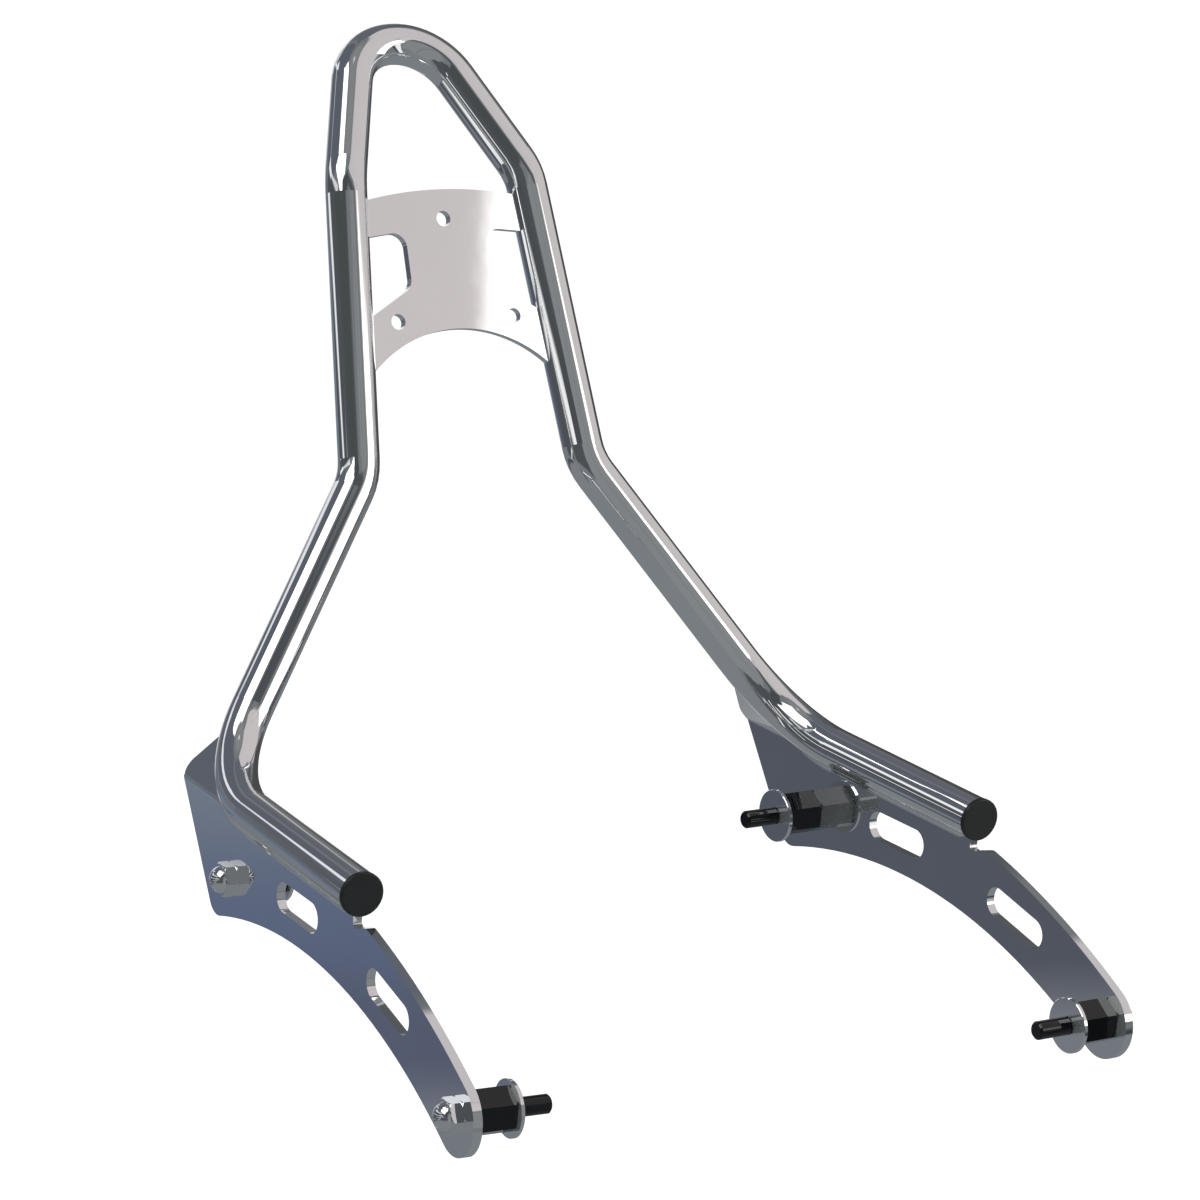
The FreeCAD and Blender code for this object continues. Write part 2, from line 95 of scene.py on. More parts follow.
# Where a black piece is mottled, its colour and roughness are this many times the plain ones.
STEEL_MOTTLE = (2.2, 1.6)
CAP_MOTTLE = (1.6, 1.3)
PLAIN_INDEX = 1.5            # index of refraction where no setting gives one

# Sockets of a Mix node that mixes colours.
MIX_SHARE, MIX_FIRST, MIX_SECOND, MIX_RESULT = 0, 6, 7, 2

WELD_STATIONS = 260
WELD_ARC_POINTS = 11
WELD_END_RADII = 2           # each end of a weld tapers over this many fillet radii
WELD_LEAST = 0.02            # share of the fillet's radius that is left at the very end
ROOT_IN_PLATE = 0.5          # depth of the hidden root in the plate, in half thicknesses
ROOT_IN_TUBE = 0.85          # distance of the root from the tube's axis, in tube radii
FOLD_BLEND = (0.6, 0.8)      # start and run of the turn from web to gusset, in fold drops

CARD_COLUMNS, CARD_ROWS = 97, 49
FLOOR_COLUMNS, FLOOR_RINGS = 96, 24
FLOOR_HUB = 0.004            # radius of the innermost ring, as a share before squaring
FLOOR_CLOUD_TONE = 0.99      # tone of the floor's faint clouds
SENSOR_WIDTH = 36.0          # millimetres

# The display curve: end and slope of its straight part, then offset and power.
CURVE_END, CURVE_SLOPE, CURVE_OFFSET, CURVE_POWER = 0.04045, 12.92, 0.055, 2.4

# Cards of the studio: name, azimuth at start and end, lowest and highest elevation at the start,
# the same at the end, edge softness, all in degrees, and the colour that the chrome shows.
# Each card hangs nearer than the one before and covers it. softbox_veil comes last, to keep a
# small part of the brighter softboxes plain white.
CARDS = (
    ("room", -180, 180, -90, 90, -90, 90, 1, (114, 117, 120)),
    ("floor_grey", -180, 180, -90, -20, -90, -20, 6, (121, 126, 130)),
    ("ceiling", -180, 180, 74, 90, 74, 90, 6, (128, 130, 131)),
    ("rear_left_wall", -180, -110, -4, 72, 12, 74, 6, (89, 94, 104)),
    ("rear_left_low", -180, -148, -31, -4, -31, 6, 5, (104, 110, 122)),
    ("rear_right_wall", 128, 180, 24, 72, 24, 72, 6, (94, 98, 107)),
    ("left_dark", -153, -30, -30, 12, -12, 36, 4, (76, 80, 84)),
    ("front_dome_left", -36, 1, -28, 26, -30, 43, 5, (128, 132, 135)),
    ("front_dome_right", -1, 31, -30, 43, -12, 26, 4, (128, 132, 133)),
    ("front_low_dark", -64, -28, -16, 10, -14, 6, 5, (76, 80, 83)),
    ("softbox_tail", -151, -84, 8, 15, 23, 32, 3, (212, 214, 216)),
    ("softbox_upper", -132, -42, 52, 72, 50, 79, 6, (252, 253, 253)),
    ("softbox_lower", -114, -52, 38, 58, 26, 58, 5, (252, 253, 253)),
    ("warm_arch", -8, 42, 60, 66, 26, 76, 4, (192, 188, 188)),
    ("warm_right", 36, 112, 6, 76, 1, 74, 7, (196, 191, 191)),
    ("warm_high", 26, 108, 48, 76, 50, 72, 6, (194, 189, 190)),
    ("warm_corner", 96, 136, 32.8, 74, 56.8, 72, 2.5, (194, 189, 190)),
    ("arch_dark_left", -62, -14, 15, 46, 46, 66, 5, (70, 74, 76)),
    ("arch_dark_right", -20, 29, 44, 60, 29, 36, 4, (74, 78, 82)),
    ("right_dark", 96, 150, -16, 10, -25, 32, 7, (73, 73, 74)),
    ("right_dark_high", 108, 150, 20, 34, 22, 50, 7, (84, 87, 89)),
    ("right_low", 64, 102, -16, 3, -22, 0, 6, (96, 97, 98)),
    ("window", 28, 70, 17, 33.5, -12, 15, 2.5, (254, 254, 252)),
    ("window_strip", 31, 41, -34, 20, -34, 16, 2, (240, 240, 240)),
    ("window_bar", 41, 46, -32, 8, -32, 8, 2, (60, 63, 66)),
    ("pad_warm", 31, 40, 19.5, 46, 39.3, 46, 1.3, (198, 192, 192)),
    ("crown_warm", 27.5, 33, 24.5, 46, 23, 46, 1.5, (200, 196, 196)),
    ("left_dark_upper", -124, -40, 6, 13, 29, 38, 3, (70, 75, 75)),
    ("left_dark_middle", -84, -28, 3, 8, 17, 25, 2, (72, 76, 78)),
    ("left_patch", -99, -70, 5, 13, 12, 18, 2, (200, 203, 204)),
    ("left_line_upper", -150.5, -68, -6.7, -3.3, 13, 16, 1.4, (238, 239, 240)),
    ("left_line_middle", -122, -60, -13, -10.4, 8.8, 12.2, 1.2, (240, 242, 242)),
    ("left_line_lower", -112, -84, -27, -23.5, -7.5, -2.5, 1.8, (235, 237, 237)),
    ("left_blue", -170, -152, -24, -8, -24, -8, 2, (84, 91, 110)),
    ("left_blue_middle", -170, -152, -20.7, -8, -20.7, -8, 1, (90, 101, 126)),
    ("left_blue_light", -170, -152, -19.8, -8, -19.8, -8, 2, (112, 121, 134)),
    ("left_shade", -152.6, -130, -24, -8, -24, -8, 2, (80, 85, 96)),
    ("left_floor_edge", -172, -126, -34, -22.9, -34, -18.3, 0.8, (115, 120, 127)),
    ("rear_left_line", -180, -146, 1.5, 5.5, 26.5, 31, 1.5, (225, 227, 230)),
    ("rear_left_fill", -160.5, -151.5, 21, 27, 15, 29, 1.5, (225, 228, 232)),
    ("rear_left_window", -150, -130, 9, 19, 10, 20, 2.5, (240, 242, 243)),
    ("rear_left_glow", -180, -168, 2, 27, 8, 22, 3, (195, 197, 200)),
    ("rear_right_light", 147, 180, -14, 6, -24, 24, 4, (196, 199, 204)),
    ("rear_right_lamp", 148, 180, -6, 10, -6, 22, 4, (240, 241, 243)),
    ("rear_right_edge", 145.5, 152, -14, -6, -15, -5, 1.2, (236, 238, 240)),
    ("rear_right_line", 150, 180, -28, -21, -49, -42, 3, (178, 180, 182)),
    ("left_dark_under", -174, -106, -35, -29.6, -29, -23, 2, (72, 77, 84)),
    ("softbox_veil", -102.5, -94.8, 51.6, 56.8, 51.6, 56.8, 1, (252, 253, 253)),
)

# The lit cards are this many times brighter than the white that the chrome shows.
CARD_GAIN = {"softbox_upper": 2.4, "softbox_lower": 2.4, "window": 2.0}


class ChromeSettings(bpy.types.PropertyGroup):
    """Look of the bright chrome plate."""

    colour: FloatVectorProperty(
        name="Colour", description="Colour of clean chrome",
        subtype="COLOR", default=(0.94, 0.945, 0.955), min=0, max=1)
    haze_colour: FloatVectorProperty(
        name="Haze colour", description="Colour where the polish is hazy",
        subtype="COLOR", default=(0.90, 0.905, 0.92), min=0, max=1)
    roughness: FloatProperty(
        name="Roughness", description="Roughness of clean chrome",
        subtype="FACTOR", default=0.012, min=0, max=1)
    haze_roughness: FloatProperty(
        name="Haze roughness", description="Roughness where the polish is hazy",
        subtype="FACTOR", default=0.035, min=0, max=1)
    ripple_height: FloatProperty(
        name="Ripple height", description="Height of the polish ripple",
        default=0.000004, min=0, precision=7, unit="LENGTH")


class BlackSettings(bpy.types.PropertyGroup):
    """Look of the black steel fixings and the end caps."""

    steel_colour: FloatVectorProperty(
        name="Steel colour", description="Colour of the black steel",
        subtype="COLOR", default=(0.001, 0.0011, 0.0014), min=0, max=1)
    # Painted reflection: glossy rays see the black steel in this lighter colour, so its images in
    # the chrome show paler than the steel itself.
    painted_reflection_colour: FloatVectorProperty(
        name="Painted reflection colour", description="Colour of the black steel where the chrome mirrors it",
        subtype="COLOR", default=(0.09, 0.098, 0.1), min=0, max=1)
    steel_roughness: FloatProperty(
        name="Steel roughness", description="Roughness of the black steel",
        subtype="FACTOR", default=0.045, min=0, max=1)
    steel_index: FloatProperty(
        name="Steel gloss", description="Index of refraction of the black finish",
        default=1.5, min=1)
    steel_ripple_height: FloatProperty(
        name="Steel ripple height", description="Height of the black finish's slow unevenness",
        default=0.000004, min=0, precision=7, unit="LENGTH")
    cap_colour: FloatVectorProperty(
        name="Cap colour", description="Colour of the end caps",
        subtype="COLOR", default=(0.0055, 0.0062, 0.0066), min=0, max=1)
    cap_roughness: FloatProperty(
        name="Cap roughness", description="Roughness of the end caps",
        subtype="FACTOR", default=0.3, min=0, max=1)
    grain_height: FloatProperty(
        name="Cap grain height", description="Height of the moulded grain",
        default=0.00003, min=0, precision=6, unit="LENGTH")


class WeldSettings(bpy.types.PropertyGroup):
    """Sizes of the weld fillets between tube and side plates."""

    tube_radius: FloatProperty(
        name="Tube radius", description="Outside radius of the tube",
        default=0.0111, min=0.001, precision=5, unit="LENGTH")
    plate_half: FloatProperty(
        name="Half plate", description="Half the side plate's thickness",
        default=0.0024, min=0.0005, precision=5, unit="LENGTH")
    bend_radius: FloatProperty(
        name="Bend radius", description="Radius of the lower bend to the tube's axis",
        default=0.0666, min=0.01, precision=5, unit="LENGTH")
    fold_drop: FloatProperty(
        name="Fold drop", description="Fold line below the tube's axis",
        default=0.0056, min=0, precision=5, unit="LENGTH")
    radius: FloatProperty(
        name="Fillet radius", description="Radius of the hollow weld fillet",
        default=0.0032, min=0.0005, precision=5, unit="LENGTH")
    start: FloatProperty(
        name="Start", description="Start of the weld behind the tube's front end",
        default=0.006, min=0, precision=4, unit="LENGTH")
    bend_share: FloatProperty(
        name="Share of bend", description="Angle of the bend that is welded",
        default=math.radians(36), min=0, subtype="ANGLE")
    ripple: FloatProperty(
        name="Ripple", description="Height of the weld's ripples",
        default=0.000003, min=0, precision=6, unit="LENGTH")
    ripple_pitch: FloatProperty(
        name="Ripple pitch", description="Distance between the weld's ripples",
        default=0.0024, min=0.0005, precision=5, unit="LENGTH")


class StudioSettings(bpy.types.PropertyGroup):
    """Floor, light and camera."""

    card_distance: FloatProperty(
        name="Card distance", description="Distance of the farthest card",
        default=300, min=5, unit="LENGTH")
    card_step: FloatProperty(
        name="Card step", description="Each card hangs this much nearer",
        default=4, min=0.01, unit="LENGTH")
    floor_height: FloatProperty(
        name="Floor height", description="Height of the floor",
        default=-0.33, unit="LENGTH")
    floor_radius: FloatProperty(
        name="Floor radius", description="Radius of the round floor",
        default=18, min=1, unit="LENGTH")
    floor_colour: FloatVectorProperty(
        name="Floor colour", description="Colour of the pale floor",
        subtype="COLOR", default=(0.93, 0.93, 0.93), min=0, max=1)
    floor_lift: FloatProperty(
        name="Floor lift", description="Light that only the camera sees on the floor",
        subtype="FACTOR", default=0.25, min=0, max=1)
    sky_strength: FloatProperty(
        name="Sky strength", description="Strength of the even light all round",
        default=0.8, min=0)
    lamp_power: FloatProperty(
        name="Lamp power", description="Power of the soft lamp in watts",
        default=60, min=0, unit="POWER")
    lamp_size: FloatProperty(
        name="Lamp size", description="Side of the square soft lamp",
        default=3.0, min=0.1, unit="LENGTH")
    lamp_place: FloatVectorProperty(
        name="Lamp place", description="Centre of the soft lamp",
        subtype="XYZ", default=(1.6, -2.2, 3.6), unit="LENGTH")
    camera_place: FloatVectorProperty(
        name="Camera place", description="Place of the camera",
        subtype="XYZ", default=(-1.3103, -1.8554, 0.8657), unit="LENGTH")
    camera_azimuth: FloatProperty(
        name="Camera azimuth", description="Direction from the object to the camera",
        default=math.radians(-32.35), subtype="ANGLE")
    camera_elevation: FloatProperty(
        name="Camera elevation", description="Rise of that direction",
        default=math.radians(15.77), subtype="ANGLE")
    camera_roll: FloatProperty(
        name="Camera roll", description="Turn of the camera about its own axis",
        default=math.radians(4.69), subtype="ANGLE")
    camera_lens: FloatProperty(
        name="Camera lens", description="Focal length in millimetres",
        default=149.97, min=1, unit="CAMERA")


def direction(azimuth, elevation):
    """Unit vector of a direction in degrees. Azimuth 0 is the front, -Y, and 90 is +X."""
    a, e = np.radians(azimuth), np.radians(elevation)
    parts = np.sin(a) * np.cos(e), -np.cos(a) * np.cos(e), np.sin(e)
    return np.stack(np.broadcast_arrays(*parts), -1)


def smooth(x):
    """Smooth step from 0 at 0 to 1 at 1."""
    t = np.clip(x, 0, 1)
    return t * t * (3 - 2 * t)


def unit(v):
    """Vectors along the last axis made one long."""
    return v / np.linalg.norm(v, axis=-1, keepdims=True)


def grid_faces(rows, columns, wrap):
    """Quads of a grid of points, and of its closing strip where the columns wrap round."""
    r = np.arange(rows - 1)[:, None]
    c = np.arange(columns if wrap else columns - 1)[None, :]
    d = (c + 1) % columns
    corners = r * columns + c, r * columns + d, (r + 1) * columns + d, (r + 1) * columns + c
    return np.stack(np.broadcast_arrays(*corners), -1).reshape(-1, 4)


def mesh_object(name, points, faces):
    """New object with a smooth-shaded mesh. faces is a list of index lists."""
    mesh = bpy.data.meshes.new(name)
    mesh.from_pydata(points.reshape(-1, 3), [], faces)
    mesh.validate()
    mesh.polygons.foreach_set("use_smooth", np.ones(len(mesh.polygons), bool))
    mesh.update()
    made = bpy.data.objects.new(name, mesh)
    bpy.context.scene.collection.objects.link(made)
    return made


def empty_material(name):
    """New material with its node tree cleared, and the tree."""
    material = bpy.data.materials.new(name)
    material.use_nodes = True
    material.node_tree.nodes.clear()
    return material, material.node_tree


def add_node(tree, kind, inputs=None, **values):
    """Node of a kind with its values set. Each input gets a plain value or a socket to feed it."""
    node = tree.nodes.new(kind)
    for key, value in values.items():
        setattr(node, key, value)
    for key, value in (inputs or {}).items():
        if isinstance(value, bpy.types.NodeSocket):
            tree.links.new(value, node.inputs[key])
        else:
            node.inputs[key].default_value = value
    return node


def mix_colours(tree, share, first, second):
    """Socket with a mix of two colours. Each is a plain colour with alpha or a socket."""
    inputs = {MIX_SHARE: share, MIX_FIRST: first, MIX_SECOND: second}
    return add_node(tree, "ShaderNodeMix", inputs, data_type="RGBA").outputs[MIX_RESULT]


def noise(tree, place, scale, detail):
    """Socket with a noise over the object's own coordinates."""
    inputs = {"Vector": place, "Scale": scale, "Detail": detail}
    return add_node(tree, "ShaderNodeTexNoise", inputs).outputs["Fac"]


def effect_group(name, inputs, outputs):
    """New node group with float inputs and outputs of the given names.

    Returns the group, the sockets that its inputs and outputs have inside, and the socket of the
    object's own coordinates.
    """
    group = bpy.data.node_groups.new(name, "ShaderNodeTree")
    for names, side in ((inputs, "INPUT"), (outputs, "OUTPUT")):
        for key in names:
            group.interface.new_socket(name=key, in_out=side, socket_type="NodeSocketFloat")
    given = group.nodes.new("NodeGroupInput").outputs
    result = group.nodes.new("NodeGroupOutput").inputs
    return group, given, result, add_node(group, "ShaderNodeTexCoord").outputs["Object"]


def polish_group():
    """Polish of bright metal: Haze varies slowly over the piece, Ripple is the fine unevenness."""
    group, given, result, place = effect_group("PolishMarks", CHROME_SCALES, ("Haze", "Ripple"))
    haze = add_node(group, "ShaderNodeMapRange", {
        "Value": noise(group, place, given["Haze Scale"], HAZE_DETAIL),
        "From Min": HAZE_RANGE[0], "From Max": HAZE_RANGE[1]})
    speck = add_node(group, "ShaderNodeMapRange", {
        "Value": noise(group, place, given["Speck Scale"], SPECK_DETAIL),
        "From Min": SPECK_RANGE[0], "From Max": SPECK_RANGE[1], "To Max": SPECK_SHARE})
    both = add_node(group, "ShaderNodeMath",
                    {0: haze.outputs["Result"], 1: speck.outputs["Result"]},
                    operation="ADD", use_clamp=True)
    ripple = noise(group, place, given["Ripple Scale"], RIPPLE_DETAIL)
    group.links.new(both.outputs["Value"], result["Haze"])
    group.links.new(ripple, result["Ripple"])
    return group


def grain_group():
    """Moulded or coated grain: Mottle varies slowly, Grain is the fine texture's height."""
    group, given, result, place = effect_group("CoatGrain", STEEL_SCALES, ("Mottle", "Grain"))
    mottle = noise(group, place, given["Mottle Scale"], MOTTLE_DETAIL)
    grain = noise(group, place, given["Grain Scale"], GRAIN_DETAIL)
    group.links.new(mottle, result["Mottle"])
    group.links.new(grain, result["Grain"])
    return group


def finish_material(name, group, scales, mask, height, look, mirrored=None):
    """Principled material whose colour and roughness vary with a mask of a node group, with bump.

    scales holds the group's inputs, and mask and height name two of its outputs. look holds
    colour, other colour, roughness, other roughness, metallic, bump height and index of
    refraction. mirrored, where one is given, is a painted reflection: a lighter colour that only
    glossy rays see, so the piece shows paler in the chrome than it is.
    """
    colour, other_colour, roughness, other_roughness, metallic, bump_height, index = look
    material, tree = empty_material(name)
    effect = add_node(tree, "ShaderNodeGroup", scales, node_tree=group)
    base = mix_colours(tree, effect.outputs[mask], (*colour, 1), (*other_colour, 1))
    # Painted reflection: glossy rays see a lighter base colour, so the chrome mirrors the piece
    # paler than it is.
    if mirrored is not None:
        path = add_node(tree, "ShaderNodeLightPath")
        base = mix_colours(tree, path.outputs["Is Glossy Ray"], base, (*mirrored, 1))
    rough = add_node(tree, "ShaderNodeMapRange", {
        "Value": effect.outputs[mask], "To Min": roughness, "To Max": other_roughness})
    bump = add_node(tree, "ShaderNodeBump", {
        "Height": effect.outputs[height], "Strength": 1.0, "Distance": bump_height})
    shader = add_node(tree, "ShaderNodeBsdfPrincipled", {
        "Base Color": base, "Roughness": rough.outputs["Result"],
        "Normal": bump.outputs["Normal"], "Metallic": metallic, "IOR": index})
    add_node(tree, "ShaderNodeOutputMaterial", {"Surface": shader.outputs["BSDF"]})
    return material


def mottled(colour, roughness, mottle):
    """Plain and mottled colour and roughness of a black finish."""
    lighter, rougher = mottle
    return colour, [lighter * value for value in colour], roughness, roughness * rougher


def give(nodes, material):
    """Put one material on CAD nodes through their material slots."""
    for name in nodes:
        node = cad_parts[name]
        if not node.material_slots:
            node.data.materials.append(material)
        for slot in node.material_slots:
            slot.material = material


class BACKREST_OT_chrome(bpy.types.Operator):
    """Give the tube, plates, nuts and washers their bright chrome"""

    bl_idname = "backrest.chrome"
    bl_label = "Chrome pieces"

    def execute(self, context):
        settings = context.scene.backrest_chrome
        look = (settings.colour, settings.haze_colour, settings.roughness,
                settings.haze_roughness, 1.0, settings.ripple_height, PLAIN_INDEX)
        give(CHROME_NODES, finish_material("bright_chrome", polish_group(), CHROME_SCALES,
                                           "Haze", "Ripple", look))
        return {"FINISHED"}


class BACKREST_OT_black(bpy.types.Operator):
    """Give the spacers and studs their gloss black, with a painted paler reflection in the chrome,
    and the end caps their satin black
    """

    bl_idname = "backrest.black"
    bl_label = "Black pieces"

    def execute(self, context):
        settings = context.scene.backrest_black
        grain = grain_group()
        look = (*mottled(settings.steel_colour, settings.steel_roughness, STEEL_MOTTLE), 0.0,
                settings.steel_ripple_height, settings.steel_index)
        # The spacers and studs get a painted reflection: a lighter colour that only their images in
        # the chrome show.
        give(BLACK_NODES, finish_material("black_steel", grain, STEEL_SCALES,
                                          "Mottle", "Mottle", look, settings.painted_reflection_colour))
        look = (*mottled(settings.cap_colour, settings.cap_roughness, CAP_MOTTLE), 0.0,
                settings.grain_height, PLAIN_INDEX)
        give(CAP_NODES, finish_material("cap_plastic", grain, CAP_SCALES,
                                        "Mottle", "Grain", look))
        return {"FINISHED"}


def seam_stations(settings, count):
    """Points of the tube's axis along the welded seam, and the directions there.

    Returns the distance along the seam, the centres, the plate's outward normal made square to
    the tube, the direction from the tube into the plate, and how far the tube's axis lies
    outside the plate's middle. The seam runs level first and then follows the lower bend, where
    the plate's web gives way to the gusset in the plane of the bend.
    """
    front, corner, knee = (np.array(p) for p in (TUBE_FRONT, TUBE_BEND_CORNER, TUBE_KNEE))
    back = unit(corner - front)
    rise = unit(knee - corner)
    turn = math.acos(float(back @ rise))
    tangent = settings.bend_radius * math.tan(turn / 2)
    inward = unit(rise - back * float(back @ rise))
    bend_start = corner - back * tangent
    level = float(np.linalg.norm(bend_start - front)) - settings.start
    bend = settings.bend_radius * settings.bend_share
    travel = np.linspace(0, level + bend, count)[:, None]
    angle = np.clip(travel - level, 0, None) / settings.bend_radius
    centres = (front + back * (settings.start + np.minimum(travel, level))
               + settings.bend_radius * (back * np.sin(angle) + inward * (1 - np.cos(angle))))
    along = back * np.cos(angle) + inward * np.sin(angle)
    up = np.array([0.0, 0.0, 1.0])
    web = unit(np.cross(back, up))
    gusset = unit(np.cross(back, inward))
    lift = settings.bend_radius * (1 - np.cos(angle))
    blend_start, blend_run = (settings.fold_drop * share for share in FOLD_BLEND)
    share = smooth((lift - blend_start) / blend_run)
    outward = unit(web * (1 - share) + gusset * share)
    outward = unit(outward - along * (outward * along).sum(-1, keepdims=True))
    run = ((centres - front) * back).sum(-1, keepdims=True)
    fold_point = front + back * run - up * settings.fold_drop
    offset = ((centres - fold_point) * outward).sum(-1, keepdims=True)
    into = unit(np.cross(along, outward))
    into = np.where(into[:, 2:3] > 0, -into, into)
    return travel[:, 0], centres, outward, into, offset[:, 0]


def weld_fillet(name, settings, left, outside):
    """Hollow fillet weld along one side of one plate.

    At each station the section is an arc of the fillet's radius, tangent to the plate's face and
    to the tube, closed through a point inside the metal. The radius shrinks to nothing at both
    ends, and small ripples run across it.
    """
    travel, centres, outward, into, offset = seam_stations(settings, WELD_STATIONS)
    sign = 1.0 if outside else -1.0
    face = settings.plate_half - sign * offset
    end = settings.radius * WELD_END_RADII
    taper = np.sqrt(smooth(travel / end) * smooth((travel[-1] - travel) / end))
    radius = settings.radius * np.maximum(taper, WELD_LEAST)
    reach = settings.tube_radius + radius
    across = face + radius
    down = np.sqrt(reach ** 2 - across ** 2)
    to_tube = np.arctan2(down, -across)
    arc = np.linspace(0, 1, WELD_ARC_POINTS)[None, :]
    angle = math.pi + (to_tube - math.pi)[:, None] * arc
    phase = 2 * math.pi * travel / settings.ripple_pitch
    wave = 1 + settings.ripple / settings.radius * np.sin(phase)
    hollow = (radius * wave)[:, None]
    x = across[:, None] + hollow * np.cos(angle)
    y = -down[:, None] + hollow * np.sin(angle)
    root_x = face[:, None] - settings.plate_half * ROOT_IN_PLATE
    root_y = np.full_like(root_x, -settings.tube_radius * ROOT_IN_TUBE)
    x = np.concatenate([x, root_x], 1)[..., None]
    y = np.concatenate([y, root_y], 1)[..., None]
    points = centres[:, None] + outward[:, None] * (sign * x) - into[:, None] * y
    columns = WELD_ARC_POINTS + 1
    last = (WELD_STATIONS - 1) * columns
    faces = grid_faces(WELD_STATIONS, columns, True)
    ends = [list(range(columns)), list(range(last, last + columns))]
    # The right side's mirroring and the inner face each turn the faces round once.
    turned = left == outside
    if turned:
        faces = faces[:, ::-1]
    ends[1 if turned else 0].reverse()
    if not left:
        points = points * np.array([-1.0, 1.0, 1.0])
    return mesh_object(name, points, faces.tolist() + ends)


class BACKREST_OT_welds(bpy.types.Operator):
    """Add the weld fillets between the tube and both side plates"""

    bl_idname = "backrest.welds"
    bl_label = "Weld fillets"

    def execute(self, context):
        settings = context.scene.backrest_weld
        chrome = bpy.data.materials.get("bright_chrome")
        if chrome is None:
            raise RuntimeError("Make the chrome pieces first")
        for left, side in ((True, "left"), (False, "right")):
            for outside, face in ((True, "outer"), (False, "inner")):
                weld = weld_fillet("weld_%s_%s" % (face, side), settings, left, outside)
                weld.data.materials.append(chrome)
                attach(weld, "root")
        return {"FINISHED"}


def card_colour(shown, chrome):
    """Light that chrome of a given reflectance shows as an 8-bit display colour."""
    value = np.array(shown, float) / 255
    curved = ((value + CURVE_OFFSET) / (1 + CURVE_OFFSET)) ** CURVE_POWER
    linear = np.where(value <= CURVE_END, value / CURVE_SLOPE, curved)
    return linear / np.array(chrome)


def studio_card(row, distance, chrome, material):
    """One card on a sphere round the object: its height changes evenly from start to end.

    The points run over azimuth and elevation, and an attribute fades the card's edges. A card
    that goes all the way round or down to the nadir has no edge there.
    """
    name, start, end, low_start, high_start, low_end, high_end, soft, shown = row
    u = np.linspace(0, 1, CARD_COLUMNS)[None, :]
    v = np.linspace(0, 1, CARD_ROWS)[:, None]
    low = low_start + (low_end - low_start) * u
    high = high_start + (high_end - high_start) * u
    elevation = low + (high - low) * v
    azimuth = start + (end - start) * u
    side = 1.0 if end - start >= 360 else smooth(np.minimum(u, 1 - u) * (end - start) / soft)
    top = smooth((high - elevation) / soft)
    bottom = 1.0 if low_start <= -90 else smooth((elevation - low) / soft)
    card = mesh_object("studio_" + name, direction(azimuth, elevation) * distance,
                       grid_faces(CARD_ROWS, CARD_COLUMNS, False).tolist())
    glow = np.empty((CARD_ROWS, CARD_COLUMNS, 4), np.float32)
    glow[..., :3] = card_colour(shown, chrome) * CARD_GAIN.get(name, 1.0)
    glow[..., 3] = side * top * bottom
    attribute = card.data.attributes.new("glow", "FLOAT_COLOR", "POINT")
    attribute.data.foreach_set("color", glow.ravel())
    card.data.materials.append(material)
    for ray in ("camera", "diffuse", "shadow", "transmission", "volume_scatter"):
        setattr(card, "visible_" + ray, False)
    card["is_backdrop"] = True


def card_material():
    """Light of the studio cards: colour and edge mask come from each card's attribute."""
    material, tree = empty_material("studio_card")
    glow = add_node(tree, "ShaderNodeAttribute", attribute_name="glow")
    light = add_node(tree, "ShaderNodeEmission", {"Color": glow.outputs["Color"], "Strength": 1.0})
    clear = add_node(tree, "ShaderNodeBsdfTransparent")
    mix = add_node(tree, "ShaderNodeMixShader", {
        0: glow.outputs["Alpha"], 1: clear.outputs[0], 2: light.outputs[0]})
    add_node(tree, "ShaderNodeOutputMaterial", {"Surface": mix.outputs[0]})
    material.cycles.emission_sampling = "NONE"
    return material


def set_world(strength):
    """White world: full white where it is seen or mirrored, softer where it lights."""
    world = bpy.data.worlds.new("studio_world")
    bpy.context.scene.world = world
    world.use_nodes = True
    # Sampled as a light it would shine through the cards, which cast no shadow.
    world.cycles.sampling_method = "NONE"
    tree = world.node_tree
    tree.nodes.clear()
    path = add_node(tree, "ShaderNodeLightPath").outputs
    seen = add_node(tree, "ShaderNodeMath", {
        0: path["Is Camera Ray"], 1: path["Is Glossy Ray"]}, operation="ADD")
    seen = add_node(tree, "ShaderNodeMath", {
        0: seen.outputs[0], 1: path["Is Transmission Ray"]}, operation="ADD", use_clamp=True)
    level = add_node(tree, "ShaderNodeMapRange", {
        "Value": seen.outputs[0], "To Min": strength, "To Max": 1.0})
    sky = add_node(tree, "ShaderNodeBackground", {
        "Color": (1, 1, 1, 1), "Strength": level.outputs["Result"]})
    add_node(tree, "ShaderNodeOutputWorld", {"Surface": sky.outputs[0]})


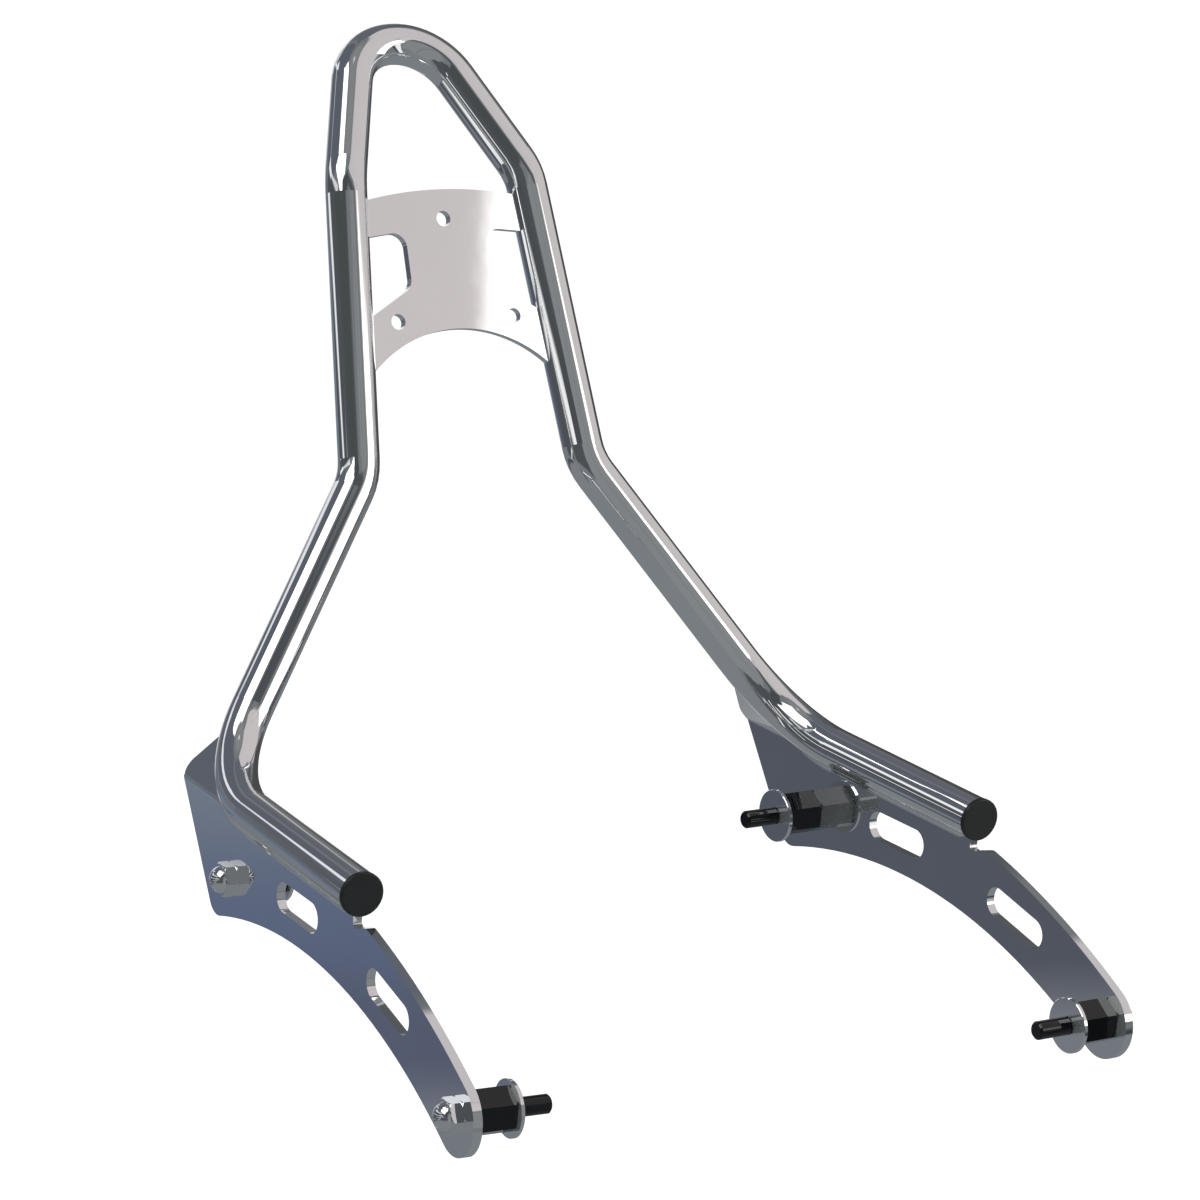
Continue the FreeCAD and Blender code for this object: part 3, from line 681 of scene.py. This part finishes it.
def add_floor(settings):
    """Round pale floor: rings of points, each at the square of an even step from hub to rim."""
    radius = settings.floor_radius * np.linspace(FLOOR_HUB, 1, FLOOR_RINGS)[:, None] ** 2
    turn = np.linspace(0, 2 * math.pi, FLOOR_COLUMNS, endpoint=False)[None, :]
    parts = radius * np.cos(turn), radius * np.sin(turn), settings.floor_height
    rings = grid_faces(FLOOR_RINGS, FLOOR_COLUMNS, True)[:, ::-1].tolist()
    floor = mesh_object("studio_floor", np.stack(np.broadcast_arrays(*parts), -1),
                        rings + [list(range(FLOOR_COLUMNS))])
    material, tree = empty_material("pale_floor")
    place = add_node(tree, "ShaderNodeTexCoord").outputs["Object"]
    clouded = [FLOOR_CLOUD_TONE * value for value in settings.floor_colour]
    tint = mix_colours(tree, noise(tree, place, CLOUD_SCALE, CLOUD_DETAIL),
                       (*settings.floor_colour, 1), (*clouded, 1))
    shader = add_node(tree, "ShaderNodeBsdfDiffuse", {"Color": tint})
    path = add_node(tree, "ShaderNodeLightPath")
    lift = add_node(tree, "ShaderNodeMath", {
        0: path.outputs["Is Camera Ray"], 1: settings.floor_lift}, operation="MULTIPLY")
    glow = add_node(tree, "ShaderNodeEmission", {
        "Color": (1, 1, 1, 1), "Strength": lift.outputs[0]})
    both = add_node(tree, "ShaderNodeAddShader", {0: shader.outputs[0], 1: glow.outputs[0]})
    add_node(tree, "ShaderNodeOutputMaterial", {"Surface": both.outputs[0]})
    floor.data.materials.append(material)
    floor.visible_glossy = False
    floor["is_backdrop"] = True


def add_lamp(settings):
    """Soft square lamp above the front, aimed at the middle of the object."""
    data = bpy.data.lights.new("soft_lamp", "AREA")
    data.energy = settings.lamp_power
    data.size = settings.lamp_size
    lamp = bpy.data.objects.new("soft_lamp", data)
    bpy.context.scene.collection.objects.link(lamp)
    low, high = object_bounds()
    lamp.location = settings.lamp_place
    aim = (low + high) / 2 - lamp.location
    lamp.rotation_euler = aim.to_track_quat("-Z", "Y").to_euler()
    lamp.visible_glossy = False


def add_camera(settings):
    """Camera at the photograph's angle, from its place, direction and roll."""
    data = bpy.data.cameras.new("photo_camera")
    data.sensor_width = SENSOR_WIDTH
    data.lens = settings.camera_lens
    camera = bpy.data.objects.new("photo_camera", data)
    bpy.context.scene.collection.objects.link(camera)
    back = Vector(direction(math.degrees(settings.camera_azimuth),
                            math.degrees(settings.camera_elevation)))
    right = Vector((0, 0, 1)).cross(back).normalized()
    up = back.cross(right)
    cosine, sine = math.cos(settings.camera_roll), math.sin(settings.camera_roll)
    turned_right = right * cosine + up * sine
    turned_up = up * cosine - right * sine
    matrix = Matrix((turned_right, turned_up, back)).transposed().to_4x4()
    matrix.translation = settings.camera_place
    camera.matrix_world = matrix
    bpy.context.scene.camera = camera


class BACKREST_OT_studio(bpy.types.Operator):
    """Set the white world, pale floor, soft lamp, mirrored cards and camera"""

    bl_idname = "backrest.studio"
    bl_label = "Studio"

    def execute(self, context):
        settings = context.scene.backrest_studio
        set_world(settings.sky_strength)
        add_floor(settings)
        add_lamp(settings)
        material = card_material()
        chrome = tuple(context.scene.backrest_chrome.colour)
        for i, row in enumerate(CARDS):
            studio_card(row, settings.card_distance - i * settings.card_step, chrome, material)
        add_camera(settings)
        context.scene.view_settings.view_transform = "Standard"
        return {"FINISHED"}


class BACKREST_PT_panel(bpy.types.Panel):
    """Sizes and colours of the backrest's looks, with a button for each step"""

    bl_idname = "BACKREST_PT_panel"
    bl_label = "Backrest"
    bl_space_type = "VIEW_3D"
    bl_region_type = "UI"
    bl_category = "Backrest"

    def draw(self, context):
        for group in GROUPS:
            settings = getattr(context.scene, group)
            box = self.layout.box()
            for name in settings.__annotations__:
                box.prop(settings, name)
        for operator in OPERATORS:
            self.layout.operator(operator.bl_idname)


GROUPS = {
    "backrest_chrome": ChromeSettings,
    "backrest_black": BlackSettings,
    "backrest_weld": WeldSettings,
    "backrest_studio": StudioSettings,
}
OPERATORS = (BACKREST_OT_chrome, BACKREST_OT_black, BACKREST_OT_welds, BACKREST_OT_studio)


def register():
    """Register the classes and hang the settings on the scene."""
    for cls in (*GROUPS.values(), *OPERATORS, BACKREST_PT_panel):
        bpy.utils.register_class(cls)
    for name, cls in GROUPS.items():
        setattr(bpy.types.Scene, name, PointerProperty(type=cls))


def unregister():
    """Undo register."""
    for name in GROUPS:
        delattr(bpy.types.Scene, name)
    for cls in (BACKREST_PT_panel, *reversed(OPERATORS), *reversed(GROUPS.values())):
        bpy.utils.unregister_class(cls)


def main():
    """Register the classes and build everything by running each step."""
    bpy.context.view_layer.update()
    register()
    bpy.ops.backrest.chrome()
    bpy.ops.backrest.black()
    bpy.ops.backrest.welds()
    bpy.ops.backrest.studio()


if __name__ == "__main__":
    main()
